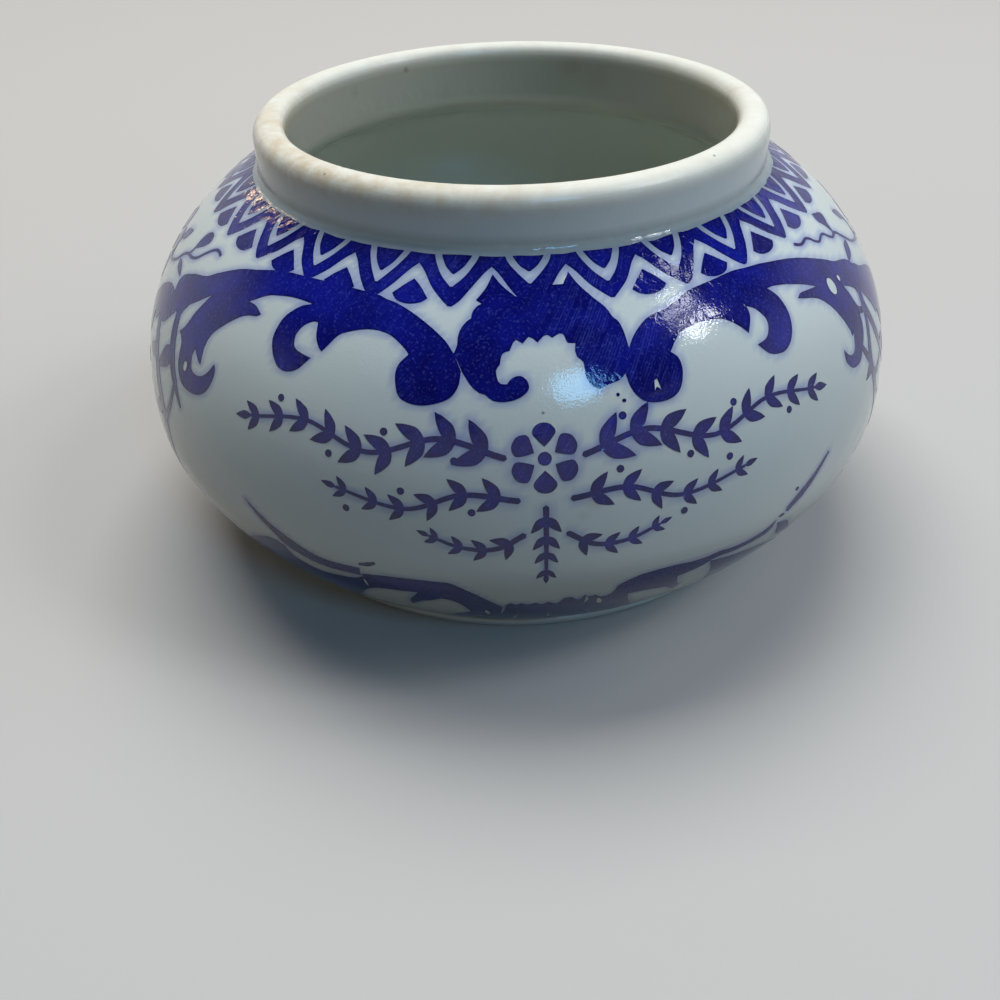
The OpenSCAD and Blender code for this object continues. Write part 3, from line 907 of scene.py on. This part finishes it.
for side, middle in (("right", 93.5), ("left", -86.5)):
    front_end, back_end = (right_end, left_end) if side == "right" else (left_end, right_end)
    back_turn = 180 if side == "right" else -180
    spray = front_end + [shape + [back_turn, 0] for shape in back_end]
    spray += flower(middle, 13.0, 8.6)
    spray += branch([(middle, 17.6), (middle + 0.6, 22.0), (middle - 0.6, 27.0), (middle, 32.5)], 4.6, 5)
    for hand in (-1, 1):
        spray += branch([(middle + hand * 3, 18.6), (middle + hand * 8, 20.4), (middle + hand * 13.5, 24.6),
                         (middle + hand * 15, 30.0)], 3.2, 4)
        spray.append(stroke([(middle + hand * 2.5, 40.4), (middle + hand * 9, 38.2),
                             (middle + hand * 20, 36.8), (middle + hand * 31, 36.9),
                             (middle + hand * 39, 35.9)], [0.4, 0.8, 0.9, 0.7, 0.25]))
        for x, s, heading in ((9, 38.2, 48), (16, 37.0, -52), (25, 36.7, 46), (32, 36.8, -40)):
            spray.append(leaf(middle + hand * x, s, 2.8, 1.1, heading if hand > 0 else 180 - heading))
    for heading, length in ((-90, 4.6), (-62, 4.0), (-118, 4.0), (-32, 3.3), (-148, 3.3)):
        spray.append(leaf(middle, 40.6, length, length * 0.3, heading, blunt=True))
    print_film("print_" + side + "_spray", spray)

# Panel garlands
# A leafy garland in three tiers fills each white panel, with a flower in the middle and a sprig that
# hangs from it. It belongs to no one design: such leaves and berries are common on printed pots.
panel_middle = 3.5
tiers = ((((4.8, 17.2), (13, 15.9), (22, 17.6), (31, 16.2), (40, 17.4)), 3.0, 9, True),
         (((3.2, 20.6), (10, 20.2), (17, 21.8), (26, 21.0)), 2.3, 6, True),
         (((2.6, 23.6), (6, 24.9), (10, 24.9), (14, 24.0)), 1.9, 4, False))
garland = flower(panel_middle, 17.3, 5.4)
for hand in (-1, 1):
    for stem, size, pairs, berries in tiers:
        garland += branch([(panel_middle + hand * x, s) for x, s in stem], size, pairs, berries)
garland += branch([(panel_middle, 21.2), (panel_middle, 24.0), (panel_middle, 27.6)], 2.0, 4)
for side, turn in panels:
    print_film("print_garland_" + side, garland, turn=turn)

# Edges of the print
# The ink gathered along the outlines of each shape, so it is densest there, but not where one print runs
# into another. The films' rim attribute is cleared at those seams.
seam_gap = 0.01 * mm
seams = kdtree.KDTree(sum(len(piece.data.vertices) for piece in films))
for index, piece in enumerate(films):
    for vertex in piece.data.vertices:
        seams.insert(vertex.co, index)
seams.balance()
for index, piece in enumerate(films):
    values = np.empty(len(piece.data.vertices))
    rim_values = piece.data.attributes["rim"].data
    rim_values.foreach_get("value", values)
    for i in np.flatnonzero(values):
        if any(other != index for _, other, _ in seams.find_range(piece.data.vertices[i].co, seam_gap)):
            values[i] = 0
    rim_values.foreach_set("value", values)

# Bled cobalt
# In the kiln a little of the blue bled into the glaze, so the white is bluish close to the print. It
# darkens the body's own colour, by the distance from the outlines of the print.
bleed_reach = 0.55 * mm
bleed_rate = 0.27
edges = np.concatenate([line for line in printed if len(line) > 24])  # Not the small spots
edge_points, _ = on_wall(edges[:, 0], edges[:, 1])
nearest = kdtree.KDTree(len(edge_points))
for index, point in enumerate(edge_points.tolist()):
    nearest.insert(point, index)
nearest.balance()
bleed = []
for vertex in pot.data.vertices:
    close = nearest.find_range(vertex.co, bleed_reach) if nearest.find(vertex.co)[2] < bleed_reach else []
    bleed.append(1 - math.exp(-bleed_rate * sum(1 - distance / bleed_reach for _, _, distance in close)))
skin = np.array([vertex.co for vertex in pot.data.vertices]) / mm
# None of it climbs the collar
bleed = np.array(bleed) * np.clip((36.2 - skin[:, 2]) / 0.5, 0, 1)
pot.data.attributes.new("blue_haze", "FLOAT", "POINT").data.foreach_set("value", bleed)
# The inside's tint and painted shade start 1.7 mm in from the outside, and are all there from 2.8 mm in
skin_r = np.where(skin[:, 2] > shoulder_z, collar_r, wall_r(skin[:, 2]))
buried = np.clip((skin_r - np.hypot(skin[:, 0], skin[:, 1]) - 1.7) / 1.1, 0, 1) * (skin[:, 2] > 3)
pot.data.attributes.new("inside", "FLOAT", "POINT").data.foreach_set("value", buried)

# Studio
# A pale table in front of a pale backdrop, under a dim ceiling. The camera, gloss and glass show them as
# they are, and the pot gets only a soft, even light from them. Its lamps are a window in panes on the
# right, one over the camera, and three small warm ones that glint along the root of the collar.
def shows_studio(tree):
    """1 for the rays that show the studio: those of the camera, of gloss and through glass."""
    path = add(tree, "LightPath")
    gloss = add(tree, "Math", {0: path.outputs["Is Camera Ray"], 1: path.outputs["Is Glossy Ray"]},
                operation="MAXIMUM")
    return add(tree, "Math", {0: gloss.outputs[0], 1: path.outputs["Is Transmission Ray"]},
               operation="MAXIMUM").outputs[0]


floor_half = 3.0
floor_mesh = bpy.data.meshes.new("studio_floor")
floor_mesh.from_pydata([(-floor_half, -floor_half, 0), (floor_half, -floor_half, 0),
                        (floor_half, floor_half, 0), (-floor_half, floor_half, 0)], [], [(0, 1, 2, 3)])
floor = new_object("studio_floor", floor_mesh)
table, tree, out = new_material("matt_white_table")
seen = shows_studio(tree)
pale = add(tree, "Mix", {"Factor": seen, 6: linear("#61594D"), 7: linear("#B6B4B0")},
           data_type="RGBA")
surface = add(tree, "BsdfPrincipled", {"Base Color": pale.outputs[2], "Roughness": 0.65})
# From 16 to 50 cm away the table runs into the backdrop, without an edge
far_light = add(tree, "Emission", {"Color": linear("#C9C8C6"), "Strength": 1.0})
coords = add(tree, "TexCoord").outputs["Object"]
away = add(tree, "VectorMath", {0: coords}, operation="LENGTH")
far = add(tree, "MapRange", {"Value": away.outputs["Value"], "From Min": 0.16, "From Max": 0.5})
shown = add(tree, "Math", {0: far.outputs[0], 1: seen}, operation="MULTIPLY")
blend = add(tree, "MixShader", {0: shown.outputs[0], 1: surface.outputs[0], 2: far_light.outputs[0]})
tree.links.new(blend.outputs[0], out.inputs[0])
floor_mesh.materials.append(table)


lamp_aim = Vector((0, 0, 0.025))


def lamp(name, azimuth, height, distance, size, watts, colour, shape="RECTANGLE", in_gloss=True):
    """A flat soft lamp that looks at the pot. Azimuth 0 is behind the pot, and 90 is on its right."""
    data = bpy.data.lights.new(name, "AREA")
    data.shape = shape
    data.size, data.size_y = size
    data.energy = watts
    data.color = linear(colour)[:3]
    a, h = math.radians(azimuth), math.radians(height)
    aim = Vector((math.sin(a) * math.cos(h), math.cos(a) * math.cos(h), math.sin(h)))
    light = new_object(name, data)
    light.location = lamp_aim + aim * distance
    light.rotation_euler = aim.to_track_quat("Z", "Y").to_euler()
    light.visible_glossy = in_gloss


for pane, (azimuth, height, watts) in enumerate(((97.5, 44.5, 0.28), (106, 45, 0.26), (94.5, 53, 0.17),
                                                 (104, 53.5, 0.1), (76, 57, 0.1))):
    lamp("window_pane_%d" % pane, azimuth, height, 0.7, (0.06, 0.07), watts, "#F4F8FF")
lamp("window_fill", 94, 38, 1.0, (0.6, 0.6), 3.0, "#EEF5FF", in_gloss=False)
lamp("camera_lamp", 157.5, 43, 0.6, (0.14, 0.14), 0.5, "#7CC6FF", "DISK")
lamp("back_lamp", -14, 66, 0.9, (0.8, 0.5), 9.6, "#FFFFFF", in_gloss=False)
for bead, (azimuth, height) in enumerate(((-38, 19), (-41.5, 26), (-46, 34))):
    lamp("root_lamp_%d" % bead, azimuth, height, 0.7, (0.03, 0.03), 0.036, "#FFD8A0", "DISK")

world = bpy.data.worlds.new("studio_air")
bpy.context.scene.world = world
world.use_nodes = True
tree = world.node_tree
tree.nodes.clear()
air = add(tree, "Background", {"Color": linear("#F2EEE6"), "Strength": 0.11})
# Pale up to 18 degrees above the table, and darkening to the ceiling at 40
direction = add(tree, "TexCoord").outputs["Generated"]
height = add(tree, "SeparateXYZ", {"Vector": direction}).outputs["Z"]
ceiling = add(tree, "MapRange", {"Value": height, "From Min": math.sin(math.radians(18)),
                                 "From Max": math.sin(math.radians(40))},
              interpolation_type="SMOOTHSTEP")
backdrop = add(tree, "Mix", {"Factor": ceiling.outputs[0], 6: linear("#C9C8C6"),
                             7: linear("#34363A")}, data_type="RGBA")
backdrop = add(tree, "Background", {"Color": backdrop.outputs[2], "Strength": 1.0})
studio = add(tree, "MixShader", {0: shows_studio(tree), 1: air.outputs[0], 2: backdrop.outputs[0]})
add(tree, "OutputWorld", {"Surface": studio.outputs[0]})

# Camera
# Close in front of the pot and above it, a little turned and rolled, as a hand holds it.
camera_place = Vector((0, -97.996, 68.051)) * mm
camera_yaw = math.radians(-1.172)
camera_pitch = math.radians(37.453)
camera_roll = math.radians(-1.587)
forward = Vector((math.sin(camera_yaw) * math.cos(camera_pitch),
                  math.cos(camera_yaw) * math.cos(camera_pitch), -math.sin(camera_pitch)))
level = forward.cross(Vector((0, 0, 1))).normalized()
upright = level.cross(forward)
right = level * math.cos(camera_roll) + upright * math.sin(camera_roll)
up = upright * math.cos(camera_roll) - level * math.sin(camera_roll)
camera_data = bpy.data.cameras.new("camera")
camera_data.sensor_width = 36
camera_data.lens = 36
camera_data.clip_start = 0.005
camera = new_object("camera", camera_data)
camera.matrix_world = Matrix.Translation(camera_place) @ Matrix((right, up, -forward)).transposed().to_4x4()
bpy.context.scene.camera = camera
bpy.context.scene.view_settings.view_transform = "Standard"
